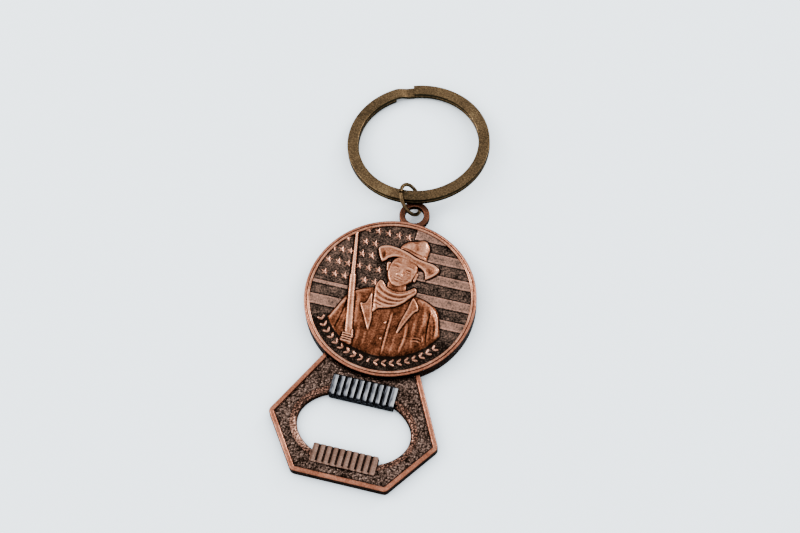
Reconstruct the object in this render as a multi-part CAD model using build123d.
from build123d import *
import os
from math import asin, cos, degrees, radians, sin

# Keychain bottle opener. Millimetres, +Z up.
# The origin is on the flat back face, under the centre of the medallion. +Y runs to the key ring.

# --- Bezel and medallion ---
bezel_diameter = 38.0
bezel_height = 3.7
bezel_wall = 0.6            # rim of the casting around the medallion
seat_clearance = 0.05       # radial gap between the medallion and its seat
seat_floor = 1.9            # thickness of the casting under the medallion
adhesive_thickness = 0.1
adhesive_margin = 0.35      # the film stops this far inside the medallion's edge
medallion_thickness = 1.65  # back face to the top of its own rim
medallion_rim = 0.75        # width of that rim
field_depth = 0.5           # the medallion's field lies this far under its rim
bezel_round = 0.25

# --- Plate ---
plate_thickness = 2.3       # to the top of its raised rim
plate_rim = 1.1             # width of that rim
plate_field_depth = 0.5     # the stippled field lies this far under the rim
plate_rim_round = 0.35
plate_corner_round = 1.3
back_round = 0.25
waist_half_width = 8.8      # where the plate starts, hidden under the bezel
waist_inset = 7.0           # from the bezel's edge, inwards
corner_half_width = 18.8    # the two side corners
corner_drop = 12.5          # from the bezel's edge down to them
foot_half_width = 10.4      # the bottom edge
foot_drop = 24.6            # from the bezel's edge down to it

# --- Mouth ---
mouth_length = 24.8         # across, along X
mouth_height = 16.4         # along Y, before the lips close it
mouth_drop = 12.0           # from the bezel's edge to the mouth's centre
mouth_round = 0.9           # rounding of its upper edge
mouth_back_round = 0.3

# --- Ribbed lips, upper (steel, hooks under the cap) and lower (cast, rests on the cap) ---
lip_width = 14.3
rib_count = 10
rib_pitch = lip_width / rib_count
lip_underside = 0.6
lifter_reach = 2.3          # the upper lip stands this far into the mouth
lifter_length = 5.1
lifter_top = 2.9
lifter_nose_round = 0.8
lifter_groove_width = 0.62
lifter_groove_depth = 0.55
tang_width = 11.0           # hidden root of the upper lip, cast into the plate
tang_length = 4.5
tang_thickness = 0.7
rest_reach = 2.8            # the lower lip stands this far into the mouth
rest_length = 4.3
rest_top = 2.4
rest_corner_round = 0.3
rest_groove_width = 0.5
rest_groove_depth = 0.4
rest_back_wall = 0.35       # closes the grooves of the lower lip

# --- Eyelet ---
eyelet_hole_radius = 2.1
eyelet_band = 1.35          # from the hole to the eyelet's outer edge
eyelet_wire_room = 0.6      # space that the jump ring's wire has to spare below the eyelet
eyelet_thickness = 1.55
eyelet_standoff = 0.4       # from the bezel's edge to the eyelet's hole
eyelet_round = 0.3

# --- Jump ring ---
jump_wire = 0.85
jump_slack = 0.98           # its radius, to the middle of the wire, is larger than the strip's width by this
jump_gap = 0.45             # the cut in the wire
jump_gap_bearing = 356.0    # place of the cut, in degrees around the ring
jump_side_offset = 1.73     # of its centre, to the left of the eyelet's centre
jump_near_edge = 0.2        # its near side reaches this far below the eyelet's centre
jump_bearing = 15.5         # direction that the ring faces
jump_lean = 37.0            # degrees from upright

# --- Split ring: one flat strip, two turns ---
ring_diameter = 32.8
strip_width = 2.62
strip_thickness = 0.88
turn_gap = 0.04             # hairline between the two turns
strip_round = 0.2
ring_bearing = 101.5        # direction from the eyelet to the ring's centre
ring_overlap = 2.48         # from the eyelet's centre to the strip's outer edge
ring_lean_bearing = -56.6   # the side that is lifted
ring_rest_gap = 0.3         # at that side, over the eyelet's top
upper_end = 108.6           # cut end of the upper turn
step_start = 124.0          # where the strip starts to step down
step_end = 112.0
lower_end = 126.5           # cut end of the lower turn

# --- Relief on the medallion ---
stripe_height = 0.2
stripe_bands = [(15.3, 17.4), (10.5, 12.8), (5.5, 7.7), (0.2, 2.5), (-4.7, -2.6)]
canton_x = 1.7
canton_y = 0.8
star_radius = 0.95
star_height = 0.22
star_rows = [
    (15.3, (-6.7, -4.3, -2.0, 0.3)),
    (12.1, (-8.8, -6.6)),
    (9.0, (-13.4, -11.2, -8.8, -6.6)),
    (6.0, (-15.6, -13.4, -11.2, -6.5, -4.2)),
    (2.8, (-15.6, -13.4, -11.2, -6.4, -4.2)),
]
figure_tilt = -12.0         # lean of the hat and head, in degrees
bead_radius = 0.55
bead_height = 0.3
bead_inset = 1.8            # from the edge of the field
bead_first, bead_last, bead_count = 212.0, 322.0, 23

# Sizes that follow from those above
bezel_radius = bezel_diameter / 2
seat_radius = bezel_radius - bezel_wall
medallion_radius = seat_radius - seat_clearance
medallion_back = seat_floor + adhesive_thickness
medallion_top = medallion_back + medallion_thickness
medallion_field = medallion_top - field_depth
field_radius = medallion_radius - medallion_rim
plate_field = plate_thickness - plate_field_depth
waist_y = waist_inset - bezel_radius
corner_y = -(bezel_radius + corner_drop)
foot_y = -(bezel_radius + foot_drop)
mouth_y = -(bezel_radius + mouth_drop)
bead_circle_radius = field_radius - bead_inset
mouth_top_y = mouth_y + mouth_height / 2
mouth_bottom_y = mouth_y - mouth_height / 2
lifter_nose_y = mouth_top_y - lifter_reach
lifter_root_y = lifter_nose_y + lifter_length
rest_nose_y = mouth_bottom_y + rest_reach
rest_root_y = rest_nose_y - rest_length
eyelet_radius = eyelet_hole_radius + eyelet_band
eyelet_underside = jump_wire + eyelet_wire_room
eyelet_y = bezel_radius + eyelet_standoff + eyelet_hole_radius
eyelet_top = eyelet_underside + eyelet_thickness
jump_radius = strip_width + jump_slack
ring_radius = ring_diameter / 2
ring_thickness = 2 * strip_thickness + turn_gap
strip_middle_radius = ring_radius - strip_width / 2
turn_offset = (strip_thickness + turn_gap) / 2


def box(x_low, x_high, y_low, y_high, z_low, z_high):
    """A box between two corners."""
    size = Box(x_high - x_low, y_high - y_low, z_high - z_low, align=(Align.MIN, Align.MIN, Align.MIN))
    return Pos(x_low, y_low, z_low) * size


def disc(radius, z_low, z_high, x=0.0, y=0.0):
    """An upright cylinder between two heights."""
    align = (Align.CENTER, Align.CENTER, Align.MIN)
    return Pos(x, y, z_low) * Cylinder(radius, z_high - z_low, align=align)


def edges_at(shape, z):
    """Edges that lie flat at height z."""
    return shape.edges().filter_by_position(Axis.Z, z - 0.01, z + 0.01)


def outline(points):
    return make_face(Polyline(points, close=True))


def prism(face, z_low, height):
    return Pos(0, 0, z_low) * extrude(face, amount=height)


def plate_outline():
    half = [(waist_half_width, waist_y), (corner_half_width, corner_y), (foot_half_width, foot_y)]
    points = half + [(-x, y) for x, y in reversed(half)]
    face = outline(points)
    corners = face.vertices().filter_by(lambda v: v.Y < waist_y - 1)
    return face, fillet(corners, plate_corner_round)


def make_plate():
    """Six-sided plate with a raised rim, a sunken field and the rounded mouth."""
    sharp, rounded = plate_outline()
    plate = extrude(rounded, amount=plate_thickness)
    plate = fillet(edges_at(plate, 0), back_round)
    field = offset(sharp, amount=-plate_rim, kind=Kind.INTERSECTION)
    plate -= prism(field, plate_field, plate_field_depth + 1)
    plate = fillet(edges_at(plate, plate_thickness), plate_rim_round)
    mouth = Pos(0, mouth_y) * Ellipse(mouth_length / 2, mouth_height / 2)
    plate -= prism(mouth, -1, plate_thickness + 2)
    plate = fillet(edges_at(plate, plate_field).filter_by(lambda e: e.is_closed), mouth_round)
    return fillet(edges_at(plate, 0).filter_by(lambda e: e.is_closed), mouth_back_round)


def make_bezel():
    """Round cup that holds the medallion."""
    bezel = disc(bezel_radius, 0, bezel_height)
    bezel = fillet(edges_at(bezel, 0), back_round)
    bezel -= disc(seat_radius, seat_floor, bezel_height + 1)
    return fillet(edges_at(bezel, bezel_height), bezel_round)


def make_eyelet():
    """Ear for the jump ring, joined to the bezel's edge."""
    ear = disc(eyelet_radius, eyelet_underside, eyelet_top, y=eyelet_y)
    ear -= disc(eyelet_hole_radius, eyelet_underside - 1, eyelet_top + 1, y=eyelet_y)
    ear = fillet(ear.edges(), eyelet_round)
    return ear - disc(seat_radius + bezel_wall / 2, eyelet_underside - 1, eyelet_top + 1)


def rib_grooves(width, depth, top, y_low, y_high):
    """Round-bottomed grooves between the ribs of a lip, along Y."""
    grooves = []
    round_z = top - depth + width / 2
    length = y_high - y_low
    for i in range(1, rib_count):
        x = -lip_width / 2 + i * rib_pitch
        slot = box(x - width / 2, x + width / 2, y_low, y_high, round_z, top + 1)
        floor = Pos(x, y_low + length / 2, round_z) * Rot(90, 0, 0) * Cylinder(width / 2, length)
        grooves.append(slot + floor)
    return grooves


def make_rest():
    """Lower lip, cast with the plate."""
    half = lip_width / 2
    lip = box(-half, half, rest_root_y, rest_nose_y, lip_underside, rest_top)
    upright = lip.edges().filter_by(Axis.Z)
    lip = fillet(upright, rest_corner_round)
    lip = fillet(edges_at(lip, rest_top), rest_corner_round / 2)
    groove_low = rest_root_y + rest_back_wall
    width, depth = rest_groove_width, rest_groove_depth
    return lip - rib_grooves(width, depth, rest_top, groove_low, rest_nose_y + 1)


def make_lifter():
    """Upper lip and its tang, and the solid envelope that the casting closes on."""
    half = lip_width / 2
    lip = box(-half, half, lifter_nose_y, lifter_root_y, lip_underside, lifter_top)
    across = edges_at(lip, lifter_top).filter_by(Axis.X)
    lip = fillet(across, lifter_nose_round)
    tang_end = lifter_root_y + tang_length
    tang_top = lip_underside + tang_thickness
    tang = box(-tang_width / 2, tang_width / 2, lifter_root_y, tang_end, lip_underside, tang_top)
    envelope = lip + tang
    width, depth = lifter_groove_width, lifter_groove_depth
    grooves = rib_grooves(width, depth, lifter_top, lifter_nose_y - 1, lifter_root_y + 1)
    return envelope - grooves, envelope


def make_opener_body(lifter_envelope):
    plate = make_plate() - disc(bezel_radius - bezel_wall / 2, -1, bezel_height + 1)
    body = make_bezel() + plate + make_eyelet() + make_rest()
    return body - lifter_envelope


def make_adhesive():
    return disc(medallion_radius - adhesive_margin, seat_floor, medallion_back)


def star(x, y):
    """Five-pointed star, point up."""
    inner = star_radius * sin(radians(18)) / sin(radians(54))
    points = []
    for i in range(10):
        reach = star_radius if i % 2 == 0 else inner
        angle = radians(90 + 36 * i)
        points.append((x + reach * cos(angle), y + reach * sin(angle)))
    return outline(points)


def flag_relief():
    """Raised stripes beside and below a field of stars."""
    field = Circle(field_radius)
    blocks = []
    for low, high in stripe_bands:
        left = canton_x if high > canton_y else -field_radius
        stripe = Pos((left + field_radius) / 2, (low + high) / 2) * Rectangle(field_radius - left, high - low)
        blocks.append(prism(stripe & field, medallion_field, stripe_height))
    for y, columns in star_rows:
        for x in columns:
            blocks.append(prism(star(x, y), medallion_field, star_height))
    return blocks


def figure_relief():
    """Half-length figure in a wide hat, neckerchief and jacket, with a long gun at the side."""
    jacket = outline([
        (-4.0, 1.5), (-8.0, 0.0), (-10.3, -2.6), (-12.4, -8.6), (-9.6, -12.0), (-5.0, -13.4), (0.0, -14.1),
        (5.0, -13.4), (9.6, -11.2), (13.2, -8.6), (11.8, -3.0), (9.6, 0.3), (5.3, 1.5),
    ])
    head = Pos(0.9, 6.6) * Rot(0, 0, figure_tilt) * Ellipse(3.5, 4.4)
    scarf = outline([(-3.4, 3.2), (5.2, 3.1), (4.2, 0.5), (0.8, -2.5), (-2.7, -4.3), (-3.7, 0.5)])
    brim = Pos(1.7, 10.2) * Rot(0, 0, figure_tilt) * Ellipse(7.4, 1.5)
    crown = outline([(-2.0, 11.2), (-0.3, 13.6), (2.0, 14.3), (4.0, 15.2), (5.5, 13.8), (5.7, 10.3)])
    gun = outline([(-11.6, 14.2), (-10.7, 14.2), (-8.6, 3.6), (-5.9, -11.3), (-7.7, -11.3), (-9.9, 3.6)])
    heights = [(jacket, 0.28), (scarf, 0.36), (head, 0.36), (crown, 0.38), (brim, 0.43), (gun, 0.38)]
    return [prism(face, medallion_field, height) for face, height in heights]


def bead_row():
    """Row of beads along the lower edge."""
    step = (bead_last - bead_first) / (bead_count - 1)
    beads = []
    for i in range(bead_count):
        angle = radians(bead_first + i * step)
        x = bead_circle_radius * cos(angle)
        y = bead_circle_radius * sin(angle)
        beads.append(disc(bead_radius, medallion_field, medallion_field + bead_height, x, y))
    return beads


def make_medallion():
    """Struck disc with its own rim and relief."""
    blank = disc(medallion_radius, medallion_back, medallion_top)
    blank -= disc(field_radius, medallion_field, medallion_top + 1)
    blank = fillet(edges_at(blank, medallion_top), bezel_round)
    return blank + flag_relief() + figure_relief() + bead_row()


def make_jump_ring():
    """Open ring of round wire, standing in the eyelet's hole."""
    opening = degrees(jump_gap / jump_radius)
    start = jump_gap_bearing + opening / 2
    section = Plane.XZ * Pos(jump_radius, 0) * Circle(jump_wire / 2)
    ring = Rot(0, 0, start) * revolve(section, Axis.Z, 360 - opening)
    lean = radians(jump_lean)
    faces = (cos(radians(jump_bearing)) * cos(lean), sin(radians(jump_bearing)) * cos(lean), sin(lean))
    height = jump_wire / 2 + jump_radius * cos(lean)
    centre = (-jump_side_offset, eyelet_y + jump_radius - jump_near_edge, height)
    return Plane(origin=centre, x_dir=(0, 0, 1), z_dir=faces) * ring


def strip_section(angle, offset_z):
    """Cross-section of the flat strip at one place around the ring."""
    plane = Plane.XZ.rotated((0, 0, angle))
    profile = RectangleRounded(strip_width, strip_thickness, strip_round)
    return plane * Pos(strip_middle_radius, offset_z) * profile


def turn(first, last, offset_z):
    """Flat turn of the strip, counter-clockwise from first to last."""
    return revolve(strip_section(first, offset_z), Axis.Z, last - first)


def make_split_ring():
    """Two turns of one strip, with a step where it passes from the upper turn to the lower."""
    upper = turn(step_start, upper_end + 360, turn_offset)
    lower = turn(lower_end, step_end + 360, -turn_offset)
    sections = []
    step_count = 6
    for i in range(step_count + 1):
        share = i / step_count
        angle = step_start + (step_end - step_start) * share
        sections.append(strip_section(angle, turn_offset * cos(radians(180 * share))))
    ring = upper + loft(sections) + lower
    lift = radians(ring_lean_bearing)
    towards_eyelet = radians(ring_lean_bearing - (ring_bearing - 180))
    lean = asin((eyelet_top + ring_rest_gap) / (ring_radius * (1 + cos(towards_eyelet))))
    normal = (-sin(lean) * cos(lift), -sin(lean) * sin(lift), cos(lean))
    reach = ring_radius + ring_overlap
    bearing = radians(ring_bearing)
    height = ring_radius * sin(lean) + ring_thickness / 2 * cos(lean)
    centre = (reach * cos(bearing), eyelet_y + reach * sin(bearing), height)
    along = (cos(lean), 0, sin(lean) * cos(lift))
    return Plane(origin=centre, x_dir=along, z_dir=normal) * ring


os.makedirs("parts", exist_ok=True)
cap_lifter, lifter_envelope = make_lifter()
pieces = {
    "opener_body": make_opener_body(lifter_envelope),
    "cap_lifter": cap_lifter,
    "medallion": make_medallion(),
    "medallion_adhesive": make_adhesive(),
    "jump_ring": make_jump_ring(),
    "split_ring": make_split_ring(),
}
for name, shape in pieces.items():
    export_step(shape, f"parts/{name}.step")
